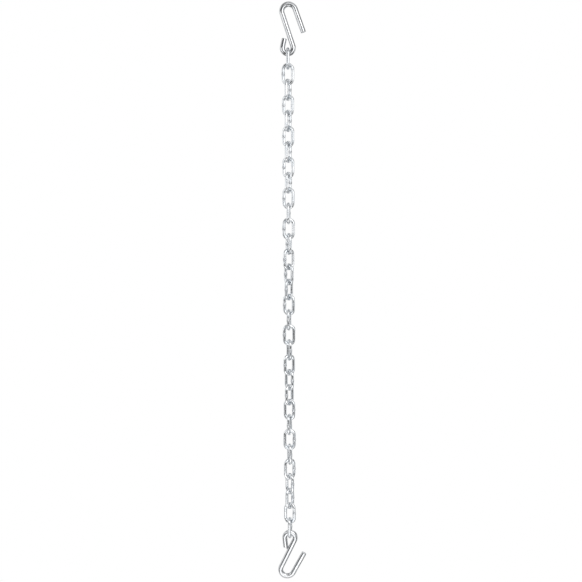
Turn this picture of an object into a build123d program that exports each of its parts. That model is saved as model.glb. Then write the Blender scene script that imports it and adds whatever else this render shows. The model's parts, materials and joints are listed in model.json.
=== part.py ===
from build123d import *
import os
from math import acos, asin, atan2, cos, degrees, hypot, radians, sin

# A trailer safety chain: 32 welded links with an S-hook closed onto each end.
#
# Millimetres, +Z up. The chain hangs plumb. Both hooks lie in the XZ plane with their open arms
# towards +X, and the origin is the point inside the top hook's bend that rests on what carries it.
#
# A link's crown is one of its two round ends. Each crown passes through the next link and bears
# on that link's own crown, so neighbouring links stand about square to each other.

# Chain wire and links
LINK_COUNT = 32
LINK_WIRE = 7.0
LINK_INSIDE_LENGTH = 31.8
CROWN_PLAY = 5.7            # room across a link beside the crown of its neighbour
CROWN_GAP = 0.3             # left between two crowns, or a crown and a hook's eye, that bear
WELD_RISE = 0.4             # how far the weld's upset ring stands proud of the wire
WELD_LENGTH = 5.0

# How the hanging chain turns about its own length: link number, and degrees turned by there
TWIST_STATIONS = ((1, 0.0), (3, -23.0), (9, -23.0), (10, -18.0), (29, 217.0), (LINK_COUNT, 262.0))

# Round bar and bends that both hooks share
BAR_PLAY = 1.6              # room across an end link beside the hook's bar
EYE_PLAY = 2.0              # room in a hook's eye around the link's wire
BEND_INSIDE_RADIUS = 8.45
BAR_END_CHAMFER = 1.4

# Top hook
TOP_BEND_TO_EYE = 73.9      # centre of the bend to centre of the eye
TOP_ARM_LENGTH = 50.5       # straight part of the open arm
TOP_ARM_SPLAY = 1.3         # degrees that the open arm spreads from the shank
TOP_TAIL_LENGTH = 17.5      # straight part of the short arm that closes the eye
TOP_EYE_MOUTH = 2.0         # left between the short arm's end and the shank
TOP_LEAN = 1.5              # degrees that the bend-to-eye line leans off plumb

# Bottom hook
BOTTOM_BEND_TO_EYE = 69.4
BOTTOM_ARM_LENGTH = 49.0
BOTTOM_ARM_SPLAY = 2.8
BOTTOM_TAIL_LENGTH = 19.9
BOTTOM_EYE_MOUTH = 0.4

# Sizes that follow from the ones above
LINK_INSIDE_WIDTH = LINK_WIRE + CROWN_PLAY
CROWN_RADIUS = (LINK_INSIDE_WIDTH + LINK_WIRE) / 2
BAR_DIAMETER = LINK_INSIDE_WIDTH - BAR_PLAY
BEND_RADIUS = BEND_INSIDE_RADIUS + BAR_DIAMETER / 2
EYE_RADIUS = LINK_WIRE / 2 + EYE_PLAY + BAR_DIAMETER / 2
LINK_SPACING = LINK_INSIDE_LENGTH - CROWN_GAP


def eye_closing_angle(tail_length, mouth):
    """Degrees past a half turn that the eye is bent to bring the short arm's end to the shank.

    The corner that comes nearest is where the end's chamfer begins.
    """
    across = EYE_RADIUS - BAR_DIAMETER / 2
    along = tail_length - BAR_END_CHAMFER
    short_by = mouth + BAR_DIAMETER / 2 - EYE_RADIUS
    return degrees(acos(short_by / hypot(across, along)) - atan2(along, across))


def hook_centreline(bend_to_eye, arm_length, splay, tail_length, mouth):
    """Centreline of a hook in the XY plane: bend centre at the origin, eye centre below it.

    The shank crosses from the left of the bend to the right of the eye, as a line that
    touches both circles.
    """
    slant = asin((BEND_RADIUS + EYE_RADIUS) / bend_to_eye)
    down_shank = Vector(sin(slant), -cos(slant))
    to_left = Vector(-cos(slant), -sin(slant))
    shank_top = to_left * BEND_RADIUS
    shank_foot = Vector(0, -bend_to_eye) - to_left * EYE_RADIUS
    closing = eye_closing_angle(tail_length, mouth)

    bend = JernArc(shank_top, down_shank * -1, BEND_RADIUS, -(180 - splay))
    arm = Line(bend @ 1, (bend @ 1) + (bend % 1) * arm_length)
    shank = Line(shank_top, shank_foot)
    eye = JernArc(shank_foot, down_shank, EYE_RADIUS, -(180 + closing))
    tail = Line(eye @ 1, (eye @ 1) + (eye % 1) * tail_length)
    return [arm, bend, shank, eye, tail]


def make_hook(bend_to_eye, arm_length, splay, tail_length, mouth):
    """A hook in the XZ plane, with its bend centre at the origin and its eye below."""
    runs = hook_centreline(bend_to_eye, arm_length, splay, tail_length, mouth)
    path = Plane.XZ * Wire(runs)
    start = Plane(origin=path @ 0, z_dir=path % 0)
    bar = sweep(start * Circle(BAR_DIAMETER / 2), path=path)
    rims = bar.edges().filter_by(GeomType.CIRCLE)
    ends = [rims.sort_by(lambda rim: (rim.arc_center - tip).length)[0] for tip in (path @ 0, path @ 1)]
    return chamfer(ends, BAR_END_CHAMFER)


def make_weld():
    """The upset ring of a link's weld, standing on the Z axis."""
    ring = Cylinder(LINK_WIRE / 2 + WELD_RISE, WELD_LENGTH)
    return chamfer(ring.edges().filter_by(GeomType.CIRCLE), WELD_RISE)


def make_link():
    """One link in the XZ plane, centred on the origin, with its weld on the +X leg."""
    leg_length = LINK_INSIDE_LENGTH - LINK_INSIDE_WIDTH
    right_leg = Line((CROWN_RADIUS, -leg_length / 2), (CROWN_RADIUS, leg_length / 2))
    top_crown = CenterArc((0, leg_length / 2), CROWN_RADIUS, 0, 180)
    left_leg = Line((-CROWN_RADIUS, leg_length / 2), (-CROWN_RADIUS, -leg_length / 2))
    bottom_crown = CenterArc((0, -leg_length / 2), CROWN_RADIUS, 180, 180)
    path = Plane.XZ * Wire([right_leg, top_crown, left_leg, bottom_crown])
    start = Plane(origin=path @ 0, z_dir=path % 0)
    ring = sweep(start * Circle(LINK_WIRE / 2), path=path)
    return ring + Pos(CROWN_RADIUS, 0, 0) * make_weld()


def twist_at(number):
    """Degrees that the hanging chain has turned by this link."""
    for (low, low_turn), (high, high_turn) in zip(TWIST_STATIONS, TWIST_STATIONS[1:]):
        if low <= number <= high:
            return low_turn + (high_turn - low_turn) * (number - low) / (high - low)
    return 0.0


def link_heading(number):
    """Direction of a link's weld about +Z, in degrees: every second link is turned square."""
    return (90 if number % 2 else 180) + twist_at(number)


def top_hook_centres():
    """Bend centre and eye centre of the top hook."""
    bend = Vector(0, 0, -BEND_INSIDE_RADIUS)
    lean = radians(TOP_LEAN)
    eye = bend + Vector(-sin(lean), 0, -cos(lean)) * TOP_BEND_TO_EYE
    return bend, eye


def chain_top():
    """Point under the first link's top crown, where it bears on the top hook's eye."""
    eye = top_hook_centres()[1]
    return eye + Vector(0, 0, -EYE_RADIUS + BAR_DIAMETER / 2 + CROWN_GAP)


def link_centre(number):
    """Centre of a link of the hanging chain, the first link being number 1."""
    drop = LINK_INSIDE_LENGTH / 2 + (number - 1) * LINK_SPACING
    return chain_top() + Vector(0, 0, -drop)


def link_pivot(number):
    """Centre of the wire of a link's bottom crown, which the next piece swings about."""
    return link_centre(number) + Vector(0, 0, -(LINK_INSIDE_LENGTH + LINK_WIRE) / 2)


def bottom_hook_eye():
    """Eye centre of the bottom hook, hung on the last link's bottom crown."""
    rise = (LINK_WIRE + BAR_DIAMETER) / 2 + CROWN_GAP
    return link_pivot(LINK_COUNT) + Vector(0, 0, rise - EYE_RADIUS)


def place_top_hook():
    """The top hook, leaning a little so that its eye hangs off plumb."""
    hook = make_hook(TOP_BEND_TO_EYE, TOP_ARM_LENGTH, TOP_ARM_SPLAY, TOP_TAIL_LENGTH, TOP_EYE_MOUTH)
    return Pos(top_hook_centres()[0]) * Rot(0, TOP_LEAN, 0) * hook


def place_link(number):
    """A link in its place in the hanging chain."""
    return Pos(link_centre(number)) * Rot(0, 0, link_heading(number)) * make_link()


def bottom_hook_tilt(hook):
    """Degrees about Y that put the mass of a hook, hung by its eye at the origin, plumb below."""
    centre = hook.center(CenterOf.MASS)
    return degrees(atan2(centre.X, -centre.Z))


def place_bottom_hook():
    """The bottom hook, upside down, hanging plumb from the last link in the top hook's plane."""
    hook = make_hook(BOTTOM_BEND_TO_EYE, BOTTOM_ARM_LENGTH, BOTTOM_ARM_SPLAY, BOTTOM_TAIL_LENGTH,
                     BOTTOM_EYE_MOUTH)
    hung = Rot(180, 0, 0) * Pos(0, 0, BOTTOM_BEND_TO_EYE) * hook
    plumb = Rot(0, bottom_hook_tilt(hung), 0) * hung
    return Pos(bottom_hook_eye()) * plumb


def main():
    """Write each piece as parts/NAME.step."""
    os.makedirs("parts", exist_ok=True)
    export_step(place_top_hook(), "parts/top_hook.step")
    for number in range(1, LINK_COUNT + 1):
        export_step(place_link(number), f"parts/link_{number:02d}.step")
    export_step(place_bottom_hook(), "parts/bottom_hook.step")


if __name__ == "__main__":
    main()
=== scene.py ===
"""The looks of a trailer safety chain: zinc-plated welded links between two S-hooks.

Lengths are in metres and angles in degrees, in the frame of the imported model: +Z up, both hooks
in the XZ plane with their open arms towards +X, the origin inside the top hook's bend.
"""

import json
import logging
import math
from dataclasses import dataclass, field
from enum import Enum

import bpy
import numpy as np
from mathutils import Matrix, Vector

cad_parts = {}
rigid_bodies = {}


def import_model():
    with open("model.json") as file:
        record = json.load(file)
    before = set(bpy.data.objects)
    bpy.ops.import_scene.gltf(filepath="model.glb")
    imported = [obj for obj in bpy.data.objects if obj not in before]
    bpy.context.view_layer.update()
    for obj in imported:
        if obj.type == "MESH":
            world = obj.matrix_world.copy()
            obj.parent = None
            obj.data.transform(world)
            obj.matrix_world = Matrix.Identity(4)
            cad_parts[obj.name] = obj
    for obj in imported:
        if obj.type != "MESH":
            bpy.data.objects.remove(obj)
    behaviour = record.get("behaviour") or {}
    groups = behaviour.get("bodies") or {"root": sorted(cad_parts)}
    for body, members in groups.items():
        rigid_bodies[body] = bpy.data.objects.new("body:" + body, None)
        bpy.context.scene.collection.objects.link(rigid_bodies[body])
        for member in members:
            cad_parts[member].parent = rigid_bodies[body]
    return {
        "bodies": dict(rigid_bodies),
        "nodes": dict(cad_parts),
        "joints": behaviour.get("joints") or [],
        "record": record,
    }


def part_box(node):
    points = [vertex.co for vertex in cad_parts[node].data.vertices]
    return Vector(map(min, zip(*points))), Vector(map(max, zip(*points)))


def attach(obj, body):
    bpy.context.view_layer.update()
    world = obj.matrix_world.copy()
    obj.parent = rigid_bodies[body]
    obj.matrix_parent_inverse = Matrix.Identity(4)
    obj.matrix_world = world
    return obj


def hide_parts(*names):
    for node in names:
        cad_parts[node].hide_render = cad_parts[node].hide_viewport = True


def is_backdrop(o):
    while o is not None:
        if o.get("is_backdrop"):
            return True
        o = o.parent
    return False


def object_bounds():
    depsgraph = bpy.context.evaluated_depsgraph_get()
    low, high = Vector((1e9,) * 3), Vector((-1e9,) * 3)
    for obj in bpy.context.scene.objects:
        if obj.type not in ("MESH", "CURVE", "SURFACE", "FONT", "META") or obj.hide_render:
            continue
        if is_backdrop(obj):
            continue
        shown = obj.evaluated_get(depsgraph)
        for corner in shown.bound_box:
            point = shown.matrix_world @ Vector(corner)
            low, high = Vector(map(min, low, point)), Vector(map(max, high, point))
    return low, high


LOG = logging.getLogger("safety_chain")
MM = 0.001

Number = float | int
Colour = tuple[float, float, float, float]


# --------------------------------------------------------------------------- shader expressions


class Signal:
    """A node's output that can be added, multiplied and compared like a number."""

    def __init__(self, graph: "ShaderGraph", socket: bpy.types.NodeSocket) -> None:
        """Wrap a socket.

        Args:
            graph: The node graph that new nodes are added to.
            socket: The output that this signal carries.
        """
        self.graph = graph
        self.socket = socket

    def _math(self, operation: str, left: "Signal | Number", right: "Signal | Number") -> "Signal":
        """Join two values with a Math node."""
        return self.graph.node("ShaderNodeMath", {"operation": operation}, {0: left, 1: right})

    def __add__(self, other: "Signal | Number") -> "Signal":
        """Sum."""
        return self._math("ADD", self, other)

    __radd__ = __add__

    def __sub__(self, other: "Signal | Number") -> "Signal":
        """Difference."""
        return self._math("SUBTRACT", self, other)

    def __rsub__(self, other: Number) -> "Signal":
        """Difference from a number."""
        return self._math("SUBTRACT", other, self)

    def __mul__(self, other: "Signal | Number") -> "Signal":
        """Product."""
        return self._math("MULTIPLY", self, other)

    __rmul__ = __mul__

    def at_most(self, other: "Signal | Number") -> "Signal":
        """The lesser of the two."""
        return self._math("MINIMUM", self, other)

    def at_least(self, other: "Signal | Number") -> "Signal":
        """The greater of the two."""
        return self._math("MAXIMUM", self, other)

    def rise(self, low: Number, high: Number) -> "Signal":
        """Smooth step from 0 at `low` to 1 at `high`; falls where `low` is the greater."""
        settings = {"interpolation_type": "SMOOTHSTEP"}
        if low < high:
            return self.graph.node("ShaderNodeMapRange", settings, {0: self, 1: low, 2: high})
        return 1 - self.graph.node("ShaderNodeMapRange", settings, {0: self, 1: high, 2: low})

    def band(self, centre: Number, half_width: Number, edge: Number) -> "Signal":
        """1 within `half_width` of `centre`, fading to 0 over `edge` on both sides."""
        low = self.rise(centre - half_width - edge, centre - half_width)
        return low * self.rise(centre + half_width + edge, centre + half_width)


class ShaderGraph:
    """A node tree that is written as expressions."""

    def __init__(self, tree: bpy.types.NodeTree) -> None:
        """Start from an empty tree."""
        self.tree = tree
        self.tree.nodes.clear()

    def node(
        self,
        kind: str,
        settings: dict[str, object] | None = None,
        values: dict[str | int, object] | None = None,
        output: str | int = 0,
    ) -> Signal:
        """Add a node and return one of its outputs.

        Args:
            kind: Blender's name for the node's type.
            settings: Properties of the node, set before its inputs.
            values: What each input holds or is linked to, by name or place.
            output: Which output to return, by name or place.

        Returns:
            The output as a signal.
        """
        made = self.tree.nodes.new(kind)
        for name, value in (settings or {}).items():
            setattr(made, name, value)
        for name, value in (values or {}).items():
            if isinstance(value, Signal):
                self.tree.links.new(value.socket, made.inputs[name])
            else:
                made.inputs[name].default_value = value
        if not made.outputs:
            return Signal(self, None)
        return Signal(self, made.outputs[output])

    def blend(self, amount: Signal | Number, low: Signal | Colour, high: Signal | Colour) -> Signal:
        """Mix two colours by an amount from 0 to 1."""
        settings = {"data_type": "RGBA"}
        return self.node("ShaderNodeMix", settings, {0: amount, 6: low, 7: high}, 2)

    def stretch(self, vector: Signal, factors: tuple[float, float, float]) -> Signal:
        """Scale a vector along each of its axes."""
        return self.node("ShaderNodeVectorMath", {"operation": "MULTIPLY"}, {0: vector, 1: factors})

    def noise(self, vector: Signal, scale: float, detail: float = 2.0, rough: float = 0.5) -> Signal:
        """Soft noise from 0 to 1."""
        values = {"Vector": vector, "Scale": scale, "Detail": detail, "Roughness": rough}
        return self.node("ShaderNodeTexNoise", {}, values, "Fac")

    def attribute(self, name: str, output: str) -> Signal:
        """A value stored on the mesh."""
        return self.node("ShaderNodeAttribute", {"attribute_name": name}, {}, output)


# --------------------------------------------------------------------------- finishes


class Mark(Enum):
    """Values stored on a bar's mesh that its finish reads."""

    BAR = "bar_place"
    WELD = "weld_heat"
    CUT = "cut_face"
    RUB = "rubbed"


@dataclass(frozen=True)
class ZincPlate:
    """Bright zinc plate over drawn steel, duller where it was welded, cut or rubbed."""

    name: str
    silver: Colour = (0.868, 0.884, 0.90, 1.0)
    blue_grey: Colour = (0.74, 0.772, 0.802, 1.0)
    weld_grey: Colour = (0.52, 0.535, 0.555, 1.0)
    bare_steel: Colour = (0.60, 0.60, 0.605, 1.0)
    smooth: float = 0.17
    dull: float = 0.34
    dullest: float = 0.7
    weld_dulling: float = 0.20
    cut_dulling: float = 0.16
    streak_share: float = 0.30
    rub_share: float = 0.6
    cloud_scale: float = 70.0
    stain_scale: float = 260.0
    streak_scale: float = 900.0
    draw_scale: float = 1700.0
    draw_depth: float = 0.010 * MM
    peel_scale: float = 420.0
    peel_depth: float = 0.012 * MM
    crust_scale: float = 1500.0
    crust_depth: float = 0.10 * MM
    ding_depth: float = 0.030 * MM
    ding_spacing: float = 5.0 * MM

    def relief(self, graph: ShaderGraph, bar: Signal, place: Signal, weld: Signal) -> Signal:
        """Height of the surface in metres.

        Args:
            graph: The graph to build in.
            bar: Place on the bar before it was bent.
            place: Place on the finished piece.
            weld: 1 at the weld.

        Returns:
            The height as a signal.
        """
        draw = graph.noise(graph.stretch(bar, (1.0, 1.0, 0.03)), self.draw_scale, 3.0, 0.6)
        peel = graph.noise(place, self.peel_scale)
        crust = graph.noise(place, self.crust_scale, 4.0, 0.65)
        pits = graph.node(
            "ShaderNodeTexVoronoi",
            {"feature": "F1"},
            {"Vector": place, "Scale": 1.0 / self.ding_spacing, "Randomness": 1.0},
            "Distance",
        )
        ding = pits.rise(0.22, 0.10)
        lines = draw * (1 - 0.7 * weld) * self.draw_depth
        crusted = crust * weld * self.crust_depth
        return lines + peel * self.peel_depth - ding * self.ding_depth + crusted

    def material(self) -> bpy.types.Material:
        """Build the material.

        Returns:
            The finished material.
        """
        made = bpy.data.materials.new(self.name)
        made.use_nodes = True
        graph = ShaderGraph(made.node_tree)
        place = graph.node("ShaderNodeTexCoord", {}, {}, "Object")
        bar = graph.attribute(Mark.BAR.value, "Vector")
        weld = graph.attribute(Mark.WELD.value, "Fac")
        cut = graph.attribute(Mark.CUT.value, "Fac")
        rub = graph.attribute(Mark.RUB.value, "Fac")

        clouds = graph.noise(place, self.cloud_scale, 3.0).rise(0.35, 0.65)
        stains = graph.noise(place, self.stain_scale, 3.0, 0.6).rise(0.48, 0.72)
        streaks = graph.noise(graph.stretch(bar, (1.0, 1.0, 0.05)), self.streak_scale)

        plate = graph.blend(clouds, self.silver, self.blue_grey)
        plate = graph.blend(streaks.rise(0.45, 0.75) * self.streak_share, plate, self.blue_grey)
        plate = graph.blend(weld * (0.45 + 0.55 * stains), plate, self.weld_grey)
        plate = graph.blend(cut * (0.35 + 0.45 * stains), plate, self.weld_grey)
        plate = graph.blend(rub * self.rub_share, plate, self.bare_steel)

        dullness = (0.65 * clouds + 0.35 * stains).at_most(1.0)
        roughness = self.smooth + (self.dull - self.smooth) * dullness
        roughness = roughness + self.weld_dulling * weld + self.cut_dulling * cut
        roughness = roughness.at_most(self.dullest)

        height = self.relief(graph, bar, place, weld.at_least(cut))
        bump = graph.node("ShaderNodeBump", {}, {"Strength": 1.0, "Distance": 1.0, "Height": height})
        metal = graph.node(
            "ShaderNodeBsdfPrincipled",
            {},
            {"Base Color": plate, "Metallic": 1.0, "Roughness": roughness, "Normal": bump},
        )
        graph.node("ShaderNodeOutputMaterial", {}, {"Surface": metal})
        return made


# --------------------------------------------------------------------------- bending a bar


@dataclass
class Run:
    """A straight or a bent stretch of a bar's centreline, in the XZ plane.

    Attributes:
        start: Where it starts.
        heading: Direction there.
        length: Its length.
        begins: Length of bar that comes before it.
        radius: Radius of a bend.
        turn: Degrees of a bend, positive to the left for someone who looks along +Y.
    """

    start: Vector
    heading: Vector
    length: float
    begins: float
    radius: float = 0.0
    turn: float = 0.0

    @property
    def left(self) -> Vector:
        """Direction to the left of the heading, for someone who looks along +Y."""
        return Vector((-self.heading.z, 0.0, self.heading.x))

    @property
    def centre(self) -> Vector:
        """Centre of a bend."""
        return self.start + self.left * math.copysign(self.radius, self.turn)

    def measure(self, points: np.ndarray) -> np.ndarray:
        """Place of points on this run.

        Args:
            points: Points of the piece, one a row.

        Returns:
            For each point: distance left of the centreline, distance behind it, distance along
            the bar, and how far off the centreline the point is.
        """
        offset = points - np.array(self.start)
        heading, left = np.array(self.heading), np.array(self.left)
        if not self.turn:
            along = offset @ heading
            side = offset @ left
        else:
            sense = math.copysign(1.0, self.turn)
            spoke = points - np.array(self.centre)
            angle = np.arctan2(spoke @ heading, -sense * (spoke @ left))
            angle = np.where(angle < -math.pi / 2, angle + 2 * math.pi, angle)
            along = angle * self.radius
            side = sense * (self.radius - np.hypot(spoke[:, 0], spoke[:, 2]))
        kept = np.clip(along, 0.0, self.length)
        off = np.sqrt(side**2 + points[:, 1] ** 2 + (along - kept) ** 2)
        return np.stack([side, points[:, 1], self.begins + along, off], axis=1)


class BentBar:
    """Round bar, shaped ring by ring with edit-mode operators as on a bending bench."""

    def __init__(self, name: str, radius: float, sides: int, start: Vector, heading: Vector) -> None:
        """Put the first ring down and open it for editing.

        Args:
            name: Name of the piece.
            radius: The bar's radius.
            sides: Vertices in each ring.
            start: Centre of the first ring.
            heading: Direction that the bar grows in, in the XZ plane.
        """
        bpy.ops.object.select_all(action="DESELECT")
        lean = math.atan2(heading.x, heading.z)
        bpy.ops.mesh.primitive_circle_add(
            vertices=sides, radius=radius, fill_type="NOTHING", location=start, rotation=(0, lean, 0)
        )
        self.piece = bpy.context.object
        self.piece.name = name
        bpy.ops.object.transform_apply(location=True, rotation=True, scale=True)
        self.radius = radius
        self.at = start.copy()
        self.heading = heading.normalized()
        self.runs: list[Run] = []
        self.swelling = 1.0
        bpy.ops.object.mode_set(mode="EDIT")
        bpy.ops.mesh.select_all(action="SELECT")

    @property
    def length(self) -> float:
        """Length of bar used so far."""
        return sum(run.length for run in self.runs)

    def _grow(self, step: Vector) -> None:
        """Extrude the open ring."""
        bpy.ops.mesh.extrude_region_move(TRANSFORM_OT_translate={"value": step})
        self.at = self.at + step

    def _swell(self, size: float) -> None:
        """Bring the open ring to `size` times the bar's own radius."""
        if abs(size - self.swelling) > 1e-6:
            factor = size / self.swelling
            bpy.ops.transform.resize(value=(factor,) * 3, center_override=self.at)
            self.swelling = size

    def straight(self, length: float, steps: int) -> None:
        """Grow a straight stretch in even steps."""
        self.runs.append(Run(self.at.copy(), self.heading.copy(), length, self.length))
        for _ in range(steps):
            self._grow(self.heading * (length / steps))

    def shaped(self, stations: list[tuple[float, float]]) -> None:
        """Grow a straight stretch that changes in thickness.

        Args:
            stations: Distance from the stretch's start, and thickness over the bar's own there.
        """
        start = self.at.copy()
        length = stations[-1][0]
        self.runs.append(Run(start, self.heading.copy(), length, self.length))
        for distance, size in stations:
            if distance > 0:
                self._grow(start + self.heading * distance - self.at)
            self._swell(size)

    def bend(self, radius: float, turn: float, steps: int) -> None:
        """Bend the bar.

        Args:
            radius: Radius of the bend at the bar's centre.
            turn: Degrees, positive to the left for someone who looks along +Y.
            steps: Rings in the bend.
        """
        angle = math.radians(turn)
        run = Run(self.at.copy(), self.heading.copy(), abs(angle) * radius, self.length, radius, turn)
        self.runs.append(run)
        axis = (0.0, math.copysign(1.0, turn), 0.0)
        bpy.ops.mesh.spin(steps=steps, angle=abs(angle), center=run.centre, axis=axis)
        spin = Matrix.Rotation(-angle, 4, "Y")
        self.at = run.centre + spin @ (self.at - run.centre)
        self.heading = spin @ self.heading

    def close_ring(self) -> None:
        """Weld the last ring to the first."""
        bpy.ops.mesh.select_all(action="SELECT")
        bpy.ops.mesh.remove_doubles(threshold=0.02 * MM)
        self._finish()

    def _finish(self) -> None:
        """Turn all faces outwards and leave edit mode."""
        bpy.ops.mesh.select_all(action="SELECT")
        bpy.ops.mesh.normals_make_consistent(inside=False)
        bpy.ops.object.mode_set(mode="OBJECT")
        bpy.ops.object.shade_smooth()

    def close_ends(self, rim: float, dish: float) -> None:
        """Close both ends of the bar as sheared and tumbled faces.

        Args:
            rim: How far the edge is rounded.
            dish: How deep the middle of the face lies.
        """
        bpy.ops.object.mode_set(mode="OBJECT")
        first = self.runs[0]
        ends = [(first.start, -first.heading), (self.at, self.heading)]
        for centre, outward in ends:
            self._close_end(centre, outward, rim, dish)
        bpy.ops.object.mode_set(mode="EDIT")
        self._finish()

    def _select_ring(self, centre: Vector) -> None:
        """Select the vertices of the ring about a point."""
        bpy.ops.object.mode_set(mode="EDIT")
        bpy.ops.mesh.select_all(action="DESELECT")
        bpy.ops.mesh.select_mode(type="VERT")
        bpy.ops.object.mode_set(mode="OBJECT")
        for vertex in self.piece.data.vertices:
            vertex.select = (vertex.co - centre).length < self.radius * 1.02
        bpy.ops.object.mode_set(mode="EDIT")

    def _close_end(self, centre: Vector, outward: Vector, rim: float, dish: float) -> None:
        """Round one end's rim with shrinking rings and close its face."""
        self._select_ring(centre)
        steps = 4
        dish_rings = ((0.62, 0.35), (0.30, 0.9))
        size = 1.0
        bpy.ops.transform.translate(value=-outward * rim)
        place = centre - outward * rim
        for step in range(1, steps + 1):
            angle = math.radians(90.0 * step / steps)
            target = centre - outward * rim * (1.0 - math.sin(angle))
            bpy.ops.mesh.extrude_region_move(TRANSFORM_OT_translate={"value": target - place})
            place = target
            new_size = 1.0 - rim / self.radius * (1.0 - math.cos(angle))
            bpy.ops.transform.resize(value=(new_size / size,) * 3, center_override=place)
            size = new_size
        for share, depth in dish_rings:
            target = centre - outward * dish * depth
            bpy.ops.mesh.extrude_region_move(TRANSFORM_OT_translate={"value": target - place})
            place = target
            bpy.ops.transform.resize(value=(share / size,) * 3, center_override=place)
            size = share
        bpy.ops.mesh.edge_face_add()
        bpy.ops.object.mode_set(mode="OBJECT")

    def bar_places(self) -> np.ndarray:
        """Place of each vertex on the bar before it was bent.

        Returns:
            One row a vertex: left of, behind and along the centreline.
        """
        count = len(self.piece.data.vertices)
        points = np.empty(count * 3)
        self.piece.data.vertices.foreach_get("co", points)
        points = points.reshape(-1, 3)
        tries = np.stack([run.measure(points) for run in self.runs])
        best = tries[:, :, 3].argmin(axis=0)
        return tries[best, np.arange(count), :3]

    def mark(self, mark: Mark, values: np.ndarray) -> None:
        """Store a value for each vertex.

        Args:
            mark: What the values say.
            values: One number, or one row of three, a vertex.
        """
        kind = "FLOAT_VECTOR" if values.ndim == 2 else "FLOAT"
        key = "vector" if values.ndim == 2 else "value"
        attribute = self.piece.data.attributes.new(mark.value, kind, "POINT")
        attribute.data.foreach_set(key, values.astype(np.float32).ravel())


def smooth_step(values: np.ndarray, low: float, high: float) -> np.ndarray:
    """Smooth rise from 0 at `low` to 1 at `high`, or a fall where `low` is the greater."""
    share = np.clip((values - low) / (high - low), 0.0, 1.0)
    return share * share * (3.0 - 2.0 * share)


def hammer(piece: bpy.types.Object, depth: float, size: float) -> None:
    """Press a tumbled piece's surface slightly and unevenly inwards.

    Args:
        piece: The piece, in its place.
        depth: Deepest that the surface goes in.
        size: Size of the unevenness.
    """
    texture = bpy.data.textures.get("tumbled") or bpy.data.textures.new("tumbled", "CLOUDS")
    texture.noise_scale = size
    texture.noise_depth = 1
    modifier = piece.modifiers.new("tumbled", "DISPLACE")
    modifier.texture = texture
    modifier.texture_coords = "LOCAL"
    modifier.mid_level = 1.0
    modifier.strength = depth
    bpy.ops.object.select_all(action="DESELECT")
    piece.select_set(True)
    bpy.context.view_layer.objects.active = piece
    bpy.ops.object.modifier_apply(modifier=modifier.name)


def dress(piece: bpy.types.Object, node: str, finish: bpy.types.Material) -> None:
    """Give a piece its finish and let it stand for its CAD node.

    Args:
        piece: The modelled piece, in its place.
        node: The CAD node, which is also the name of its body.
        finish: The piece's material.
    """
    piece.data.materials.clear()
    piece.data.materials.append(finish)
    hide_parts(node)
    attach(piece, node)
    LOG.info("%s: %d faces", piece.name, len(piece.data.polygons))


# --------------------------------------------------------------------------- the links


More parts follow.
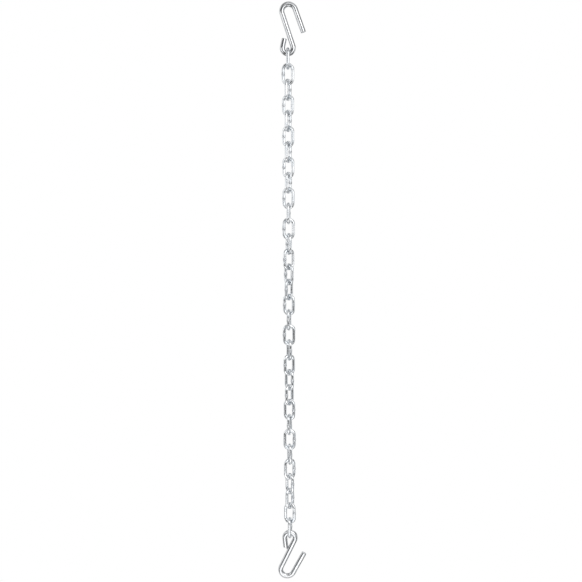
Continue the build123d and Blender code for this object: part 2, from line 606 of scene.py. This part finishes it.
@dataclass
class ChainLinks:
    """The welded links: one wire bent round and butt-welded on one leg.

    Attributes:
        wire_radius: Radius of the wire.
        crown_radius: Radius of the two round ends at the wire's centre.
        leg_length: Straight part between them.
        weld_rise: How far the weld stands proud of the wire.
        heat_core: From the weld, where the plating is fully dulled.
        heat_reach: From the weld, where that stops.
        rub_core: From a crown's middle, where the wire is fully rubbed.
        rub_reach: From a crown's middle, where that stops.
        tumble_depth: Deepest unevenness of the surface.
        tumble_size: Size of the unevenness.
        sides: Vertices round the wire; the steps are rings along each stretch.
    """

    frame: dict
    wire_radius: float = 3.5 * MM
    crown_radius: float = 9.85 * MM
    leg_length: float = 19.1 * MM
    weld_rise: float = 0.38 * MM
    heat_core: float = 1.6 * MM
    heat_reach: float = 4.2 * MM
    rub_core: float = 1.2 * MM
    rub_reach: float = 3.4 * MM
    tumble_depth: float = 0.12 * MM
    tumble_size: float = 6.0 * MM
    sides: int = 28
    crown_steps: int = 18
    leg_steps: int = 9

    def weld_stations(self) -> list[tuple[float, float]]:
        """Thickness of the wire outwards from the middle of its weld."""
        ridge = ((0.0, 1.0), (0.35, 0.95), (0.6, 0.72))
        shoulder = ((1.4, 0.68), (2.1, 0.5), (2.6, 0.16), (3.2, 0.0))
        rise = self.weld_rise / self.wire_radius
        return [(distance * MM, 1.0 + rise * share) for distance, share in ridge + shoulder]

    def model(self) -> bpy.types.Object:
        """Bend and weld one link in the XZ plane, about the origin, with its weld on the +X leg.

        Returns:
            The link that the others are copied from.
        """
        start = Vector((self.crown_radius, 0.0, 0.0))
        wire = BentBar("link_pattern", self.wire_radius, self.sides, start, Vector((0, 0, 1)))
        weld = self.weld_stations()
        rest = self.leg_length / 2 - weld[-1][0]
        wire.shaped(weld)
        wire.straight(rest, self.leg_steps // 3)
        wire.bend(self.crown_radius, 180.0, self.crown_steps)
        wire.straight(self.leg_length, self.leg_steps)
        wire.bend(self.crown_radius, 180.0, self.crown_steps)
        wire.straight(rest, self.leg_steps // 3)
        end = weld[-1][0]
        wire.shaped([(end - distance, size) for distance, size in reversed(weld)])
        wire.close_ring()
        self.mark(wire)
        return wire.piece

    def mark(self, wire: BentBar) -> None:
        """Store where the wire was welded and where the crowns rub."""
        bar = wire.bar_places()
        along = np.minimum(bar[:, 2], wire.length - bar[:, 2])
        bar[:, 2] = along
        wire.mark(Mark.BAR, bar)
        wire.mark(Mark.WELD, smooth_step(along, self.heat_reach, self.heat_core))
        crown = (self.leg_length + math.pi * self.crown_radius) / 2
        near = np.abs(along - crown)
        inside = smooth_step(bar[:, 0] / self.wire_radius, 0.55, 0.95)
        wire.mark(Mark.RUB, inside * smooth_step(near, self.rub_reach, self.rub_core))
        wire.mark(Mark.CUT, np.zeros(len(along)))

    def across(self, number: int) -> Vector:
        """Direction across a link, from leg to leg.

        The next link swings about it. Where a hook follows, the link turns on from the one above
        as that one does from its own neighbour.
        """
        below = [j for j in self.frame["joints"] if j["child"] == f"link_{number + 1:02d}"]
        if below:
            return Vector(below[0]["axis"])
        before, last = self.across(number - 2), self.across(number - 1)
        turned = 2.0 * math.atan2(last.y, last.x) - math.atan2(before.y, before.x)
        return Vector((math.cos(turned), math.sin(turned), 0.0))

    def place(self, number: int, pattern: bpy.types.Object) -> bpy.types.Object:
        """Copy the pattern link into its place in the hanging chain.

        Args:
            number: The link's number from the top.
            pattern: The link that is copied.

        Returns:
            The copy, with its place in its mesh.
        """
        node = f"link_{number:02d}"
        low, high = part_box(node)
        middle = (low + high) / 2
        pivot = Vector(next(j["pos_m"] for j in self.frame["joints"] if j["parent"] == node))
        weld = self.across(number)
        if (middle - pivot).dot(weld) < 0:
            weld = -weld
        piece = pattern.copy()
        piece.data = pattern.data.copy()
        piece.name = f"zinc_{node}"
        bpy.context.collection.objects.link(piece)
        turn = Matrix.Rotation(math.atan2(weld.y, weld.x), 4, "Z")
        piece.data.transform(Matrix.Translation((pivot.x, pivot.y, middle.z)) @ turn)
        return piece

    def build(self, finish: ZincPlate) -> None:
        """Model every link and dress it."""
        pattern = self.model()
        material = finish.material()
        nodes = sorted(name for name in self.frame["nodes"] if name.startswith("link_"))
        for number, node in enumerate(nodes, start=1):
            piece = self.place(number, pattern)
            hammer(piece, self.tumble_depth, self.tumble_size)
            dress(piece, node, material)
        bpy.data.objects.remove(pattern)


# --------------------------------------------------------------------------- the hooks


class Hang(Enum):
    """Which end of the chain a hook is on; the value is the side of its bend."""

    TOP = 1
    BOTTOM = -1


@dataclass
class SHook:
    """An S-hook: one bar with an open arm, a bend, a shank and an eye closed on a link.

    Attributes:
        node: The CAD node that it stands for.
        hang: Which end of the chain it is on.
        bend_centre: Centre of the bend.
        eye_centre: Centre of the eye.
        arm_length: Straight part of the open arm.
        arm_splay: Degrees that the open arm spreads from the shank.
        tail_length: Straight part of the short arm that closes the eye.
        eye_mouth: Left between the tail's end and the shank.
        bar_radius: Radius of the bar.
        bend_radius: Radius of the bend at the bar's centre.
        eye_radius: Radius of the eye at the bar's centre.
        end_rim: How far the edges of the bar's ends are rounded.
        end_dish: How deep the faces of its ends are dished.
        cut_core: From an end, where the plating is fully duller from the cut.
        cut_reach: From an end, where that stops.
        rub_core: From the bearing spot, where the bar is fully rubbed.
        rub_reach: From the bearing spot, where that stops.
        tumble_depth: Deepest unevenness of the surface.
        tumble_size: Size of the unevenness.
        sides: Vertices round the bar; the steps are rings along each stretch.
    """

    node: str
    hang: Hang
    bend_centre: Vector
    eye_centre: Vector
    arm_length: float
    arm_splay: float
    tail_length: float
    eye_mouth: float
    bar_radius: float = 5.52 * MM
    bend_radius: float = 14.0 * MM
    eye_radius: float = 11.05 * MM
    end_rim: float = 1.4 * MM
    end_dish: float = 0.25 * MM
    cut_core: float = 0.5 * MM
    cut_reach: float = 1.6 * MM
    rub_core: float = 2.0 * MM
    rub_reach: float = 5.5 * MM
    tumble_depth: float = 0.10 * MM
    tumble_size: float = 9.0 * MM
    sides: int = 40
    arm_steps: int = 24
    bend_steps: int = 28
    shank_steps: int = 30
    tail_steps: int = 10

    @property
    def closing(self) -> float:
        """Degrees past a half turn that the eye is bent, to bring the tail to the shank."""
        across = self.eye_radius - self.bar_radius
        along = self.tail_length - self.end_rim
        short_by = self.eye_mouth + self.bar_radius - self.eye_radius
        reach = math.hypot(across, along)
        return math.degrees(math.acos(short_by / reach) - math.atan2(along, across))

    def model(self) -> BentBar:
        """Bend the hook from its arm's tip to its tail.

        Returns:
            The bent bar.
        """
        side = self.hang.value
        down = self.eye_centre - self.bend_centre
        distance = down.length
        slant = math.asin((self.bend_radius + self.eye_radius) / distance)
        shank = Matrix.Rotation(-side * slant, 3, "Y") @ down.normalized()
        out = Vector((-shank.z, 0.0, shank.x)) * side
        shank_top = self.bend_centre - out * self.bend_radius
        turn = math.radians(180.0 - self.arm_splay)
        back = Matrix.Rotation(side * turn, 3, "Y")
        arm_foot = self.bend_centre + back @ (shank_top - self.bend_centre)
        arm_heading = back @ shank
        tip = arm_foot - arm_heading * self.arm_length
        bar = BentBar(f"zinc_{self.node}", self.bar_radius, self.sides, tip, arm_heading)
        bar.straight(self.arm_length, self.arm_steps)
        bar.bend(self.bend_radius, side * (180.0 - self.arm_splay), self.bend_steps)
        bar.straight(distance * math.cos(slant), self.shank_steps)
        bar.bend(self.eye_radius, -side * (180.0 + self.closing), self.bend_steps)
        bar.straight(self.tail_length, self.tail_steps)
        bar.close_ends(self.end_rim, self.end_dish)
        self.mark(bar)
        return bar

    def mark(self, bar: BentBar) -> None:
        """Store where the bar was cut and where the end link rubs."""
        places = bar.bar_places()
        along = places[:, 2]
        bar.mark(Mark.BAR, places)
        bar.mark(Mark.WELD, np.zeros(len(along)))
        to_end = np.minimum(along, bar.length - along)
        bar.mark(Mark.CUT, smooth_step(to_end, self.cut_reach, self.cut_core))
        eye = bar.runs[3]
        contact = eye.begins + eye.length * 0.5
        near = smooth_step(np.abs(along - contact), self.rub_reach, self.rub_core)
        inside = smooth_step(-self.hang.value * places[:, 0] / self.bar_radius, 0.6, 0.95)
        bar.mark(Mark.RUB, near * inside)

    def build(self, material: bpy.types.Material) -> None:
        """Model the hook and dress it."""
        bar = self.model()
        hammer(bar.piece, self.tumble_depth, self.tumble_size)
        dress(bar.piece, self.node, material)


def both_hooks(frame: dict) -> list[SHook]:
    """The two hooks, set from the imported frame's mounts and joints.

    A bend's centre lies one inside radius from its seat. The top eye's centre lies above its
    hinge, and the bottom eye's centre hangs a little below its own.


    Returns:
        The top hook and the bottom hook.
    """
    mounts = {mount["name"]: mount for mount in frame["record"]["mounts"]}
    hinges = {joint["child"]: Vector(joint["pos_m"]) for joint in frame["joints"]}
    bend_inside = Vector((0, 0, 8.45 * MM))
    eye_above = Vector((0, 0, SHook.eye_radius))
    eye_below = Vector((0, 0, 1.7 * MM))
    return [
        SHook(
            node="top_hook",
            hang=Hang.TOP,
            bend_centre=Vector(mounts["top_hook_seat"]["pos_m"]) - bend_inside,
            eye_centre=hinges["link_01"] + eye_above,
            arm_length=50.5 * MM,
            arm_splay=1.3,
            tail_length=17.5 * MM,
            eye_mouth=2.0 * MM,
        ),
        SHook(
            node="bottom_hook",
            hang=Hang.BOTTOM,
            bend_centre=Vector(mounts["bottom_hook_seat"]["pos_m"]) + bend_inside,
            eye_centre=hinges["bottom_hook"] - eye_below,
            arm_length=49.0 * MM,
            arm_splay=2.8,
            tail_length=19.9 * MM,
            eye_mouth=0.4 * MM,
        ),
    ]


# --------------------------------------------------------------------------- the studio


@dataclass(frozen=True)
class Gap:
    """A dark upright gap between the studio's bright panels, as polished metal mirrors it.

    Attributes:
        azimuth: Degrees round from the camera to the gap's middle, positive to the right.
        half_width: Degrees from the middle to where the gap begins to fade.
        edge: Degrees over which it fades on either side.
        depth: How dark it is, from 0 to 1.
        lowest: Height of its lower end, in degrees above the horizon.
        highest: Height of its upper end.
        lean: Degrees that the middle moves round for each degree of height.
        end_edge: Degrees over which half of either end fades.
    """

    azimuth: float
    half_width: float
    edge: float
    depth: float
    lowest: float = -90.0
    highest: float = 90.0
    lean: float = 0.0
    end_edge: float = 6.0

    def shade(self, azimuth: Signal, height: Signal) -> Signal:
        """How dark the room is in a direction.

        Args:
            azimuth: Degrees round from the camera, positive to the right.
            height: Degrees above the horizon.

        Returns:
            0 outside the gap, and up to its depth inside it.
        """
        graph = azimuth.graph
        turned = azimuth - height * self.lean - self.azimuth
        wrap = {"operation": "WRAP"}
        turned = graph.node("ShaderNodeMath", wrap, {0: turned, 1: 180.0, 2: -180.0})
        upright = turned.band(0.0, self.half_width, self.edge)
        above = height.rise(self.lowest - self.end_edge, self.lowest + self.end_edge)
        under = height.rise(self.highest + self.end_edge, self.highest - self.end_edge)
        return upright * above * under * self.depth


@dataclass
class Studio:
    """A pale floor, soft lamps and a bright room round the hanging chain.

    Attributes:
        low: Lowest corner of the chain's box.
        high: Highest corner of the chain's box.
        distance: From the camera to the point that it aims at.
        elevation: Degrees that the camera looks down.
        roll: Degrees that the camera is turned about its own axis.
        focal_length: The camera's lens, in millimetres.
        sensor: Width of its sensor, in millimetres.
        aim: The point that the camera aims at.
        floor_drop: How far the floor lies below the chain.
        floor_radius: Radius of the floor.
        floor_glow: Light that the camera alone sees on the floor.
        floor_core: Share of the radius within which the floor is solid.
        floor_rim: Share of the radius at which it has faded out.
        room_level: Brightness of the room between the gaps.
        gaps: The dark gaps.
    """

    low: Vector
    high: Vector
    distance: float = 2.5
    elevation: float = 5.03
    roll: float = -0.2508
    focal_length: float = 74.59175
    sensor: float = 36.0
    aim: Vector = field(default_factory=lambda: Vector((0.0024, 0.0, -0.5790)))
    floor_drop: float = 0.24
    floor_radius: float = 0.44
    floor_glow: float = 0.24
    floor_core: float = 0.45
    floor_rim: float = 0.98
    room_level: float = 0.93
    gaps: tuple[Gap, ...] = (
        Gap(azimuth=66.0, half_width=10.0, edge=7.0, depth=0.64, highest=31.0),
        Gap(azimuth=-81.0, half_width=43.0, edge=12.0, depth=0.81, lowest=-84.0, highest=-15.0, lean=-1.6),
        Gap(azimuth=-45.0, half_width=18.0, edge=10.0, depth=0.93, lowest=4.0, highest=78.0),
        Gap(azimuth=-26.0, half_width=39.0, edge=9.0, depth=0.93, lowest=-11.0, highest=18.0, lean=-0.26),
        Gap(azimuth=12.0, half_width=40.0, edge=9.0, depth=0.84, lowest=-21.0, highest=0.0, lean=-0.23),
        Gap(azimuth=70.0, half_width=13.0, edge=7.0, depth=0.95, lowest=-55.0, highest=-21.0, lean=-0.2),
        Gap(azimuth=123.0, half_width=27.0, edge=9.0, depth=0.86, highest=-34.0),
        Gap(azimuth=139.0, half_width=30.0, edge=12.0, depth=0.55, lowest=11.0, lean=-1.4),
        Gap(azimuth=-170.0, half_width=60.0, edge=16.0, depth=0.79, lowest=-88.0, highest=-41.0, lean=-1.3),
        Gap(azimuth=-119.0, half_width=48.0, edge=14.0, depth=0.75, lowest=39.0, lean=-0.6),
        Gap(azimuth=86.0, half_width=11.0, edge=8.0, depth=0.80, lowest=8.0, highest=34.0),
    )

    def camera(self) -> None:
        """Stand the camera in front of the chain, a little above its middle."""
        data = bpy.data.cameras.new("studio_camera")
        data.sensor_width = self.sensor
        data.lens = self.focal_length
        data.clip_start = 0.05
        data.clip_end = 50.0
        camera = bpy.data.objects.new("studio_camera", data)
        tilt = math.radians(self.elevation)
        back = Vector((0.0, -math.cos(tilt), math.sin(tilt)))
        turn = Matrix.Rotation(math.radians(90.0 - self.elevation), 4, "X")
        roll = Matrix.Rotation(math.radians(self.roll), 4, "Z")
        camera.matrix_world = Matrix.Translation(self.aim + back * self.distance) @ turn @ roll
        bpy.context.collection.objects.link(camera)
        bpy.context.scene.camera = camera

    def lamp(
        self, name: str, azimuth: float, height: float, reach: float, size: float, power: float
    ) -> None:
        """Hang one soft lamp that faces the middle of the chain.

        Args:
            name: The lamp's name.
            azimuth: Degrees round from the camera, positive to the right.
            height: Degrees above the middle of the chain.
            reach: Distance from the middle of the chain.
            size: Width and height of its face.
            power: Power in watts.
        """
        data = bpy.data.lights.new(name, "AREA")
        data.shape = "SQUARE"
        data.size = size
        data.energy = power
        lamp = bpy.data.objects.new(name, data)
        middle = (self.low + self.high) / 2
        aside, up = math.radians(azimuth), math.radians(height)
        away = Vector((math.sin(aside) * math.cos(up), -math.cos(aside) * math.cos(up), math.sin(up)))
        lamp.location = middle + away * reach
        lamp.rotation_euler = (-away).to_track_quat("-Z", "Y").to_euler()
        bpy.context.collection.objects.link(lamp)

    def room(self) -> None:
        """Light the scene from all round, with the dark gaps that metal shows between lamps."""
        world = bpy.data.worlds.new("studio_room")
        bpy.context.scene.world = world
        world.use_nodes = True
        graph = ShaderGraph(world.node_tree)
        direction = graph.node("ShaderNodeTexCoord", {}, {}, "Generated")
        x, y, z = (graph.node("ShaderNodeSeparateXYZ", {}, {0: direction}, name) for name in "XYZ")
        turn = graph.node("ShaderNodeMath", {"operation": "ARCTAN2"}, {0: x, 1: 0 - y})
        rise = graph.node("ShaderNodeMath", {"operation": "ARCSINE"}, {0: z})
        azimuth = turn * (180.0 / math.pi)
        height = rise * (180.0 / math.pi)
        shade = self.gaps[0].shade(azimuth, height)
        for gap in self.gaps[1:]:
            shade = shade.at_least(gap.shade(azimuth, height))
        seen = (1 - shade) * self.room_level
        camera = graph.node("ShaderNodeLightPath", {}, {}, "Is Camera Ray")
        level = camera.at_least(seen)
        light = {"Color": (1.0, 1.0, 1.0, 1.0), "Strength": level}
        background = graph.node("ShaderNodeBackground", {}, light)
        graph.node("ShaderNodeOutputWorld", {}, {"Surface": background})

    def floor(self) -> None:
        """Lay a pale round floor below the chain that fades out at its rim."""
        middle = (self.low + self.high) / 2
        place = (middle.x, middle.y, self.low.z - self.floor_drop)
        bpy.ops.object.select_all(action="DESELECT")
        bpy.ops.mesh.primitive_circle_add(
            vertices=64, radius=self.floor_radius, fill_type="NGON", location=place
        )
        floor = bpy.context.object
        floor.name = "studio_floor"
        bpy.ops.object.transform_apply(location=True, rotation=True, scale=True)
        material = bpy.data.materials.new("pale_floor")
        material.use_nodes = True
        graph = ShaderGraph(material.node_tree)
        spot = graph.node("ShaderNodeTexCoord", {}, {}, "Object")
        measure = {"operation": "DISTANCE"}
        reach = graph.node("ShaderNodeVectorMath", measure, {0: spot, 1: place}, "Value")
        fade = reach.rise(self.floor_radius * self.floor_rim, self.floor_radius * self.floor_core)
        camera = graph.node("ShaderNodeLightPath", {}, {}, "Is Camera Ray")
        paint = graph.node(
            "ShaderNodeBsdfPrincipled",
            {},
            {
                "Base Color": (0.92, 0.92, 0.92, 1.0),
                "Roughness": 0.8,
                "Alpha": fade,
                "Emission Color": camera * self.floor_glow,
                "Emission Strength": 1.0,
            },
        )
        graph.node("ShaderNodeOutputMaterial", {}, {"Surface": paint})
        floor.data.materials.append(material)
        floor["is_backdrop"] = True

    def light(self) -> None:
        """Hang the lamps and set the room."""
        self.lamp("right_softbox", azimuth=30.0, height=20.0, reach=1.78, size=1.45, power=9.4)
        self.lamp("low_softbox", azimuth=-7.0, height=-51.0, reach=1.2, size=0.98, power=4.6)
        self.lamp("left_softbox", azimuth=-46.0, height=13.0, reach=1.21, size=0.76, power=2.5)
        self.room()


# --------------------------------------------------------------------------- all together


def main() -> None:
    """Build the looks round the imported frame."""
    logging.basicConfig(level=logging.INFO, format="%(name)s: %(message)s")
    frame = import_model()
    cad_low, cad_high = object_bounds()
    studio = Studio(cad_low, cad_high)
    studio.camera()
    hook_plate = ZincPlate(
        "hook_zinc_plate",
        silver=(0.715, 0.725, 0.737, 1.0),
        blue_grey=(0.60, 0.615, 0.632, 1.0),
        smooth=0.15,
        dull=0.28,
    ).material()
    for hook in both_hooks(frame):
        hook.build(hook_plate)
    ChainLinks(frame).build(ZincPlate("link_zinc_plate"))
    studio.floor()
    studio.light()
    bpy.context.scene.view_settings.view_transform = "Standard"


if __name__ == "__main__":
    main()
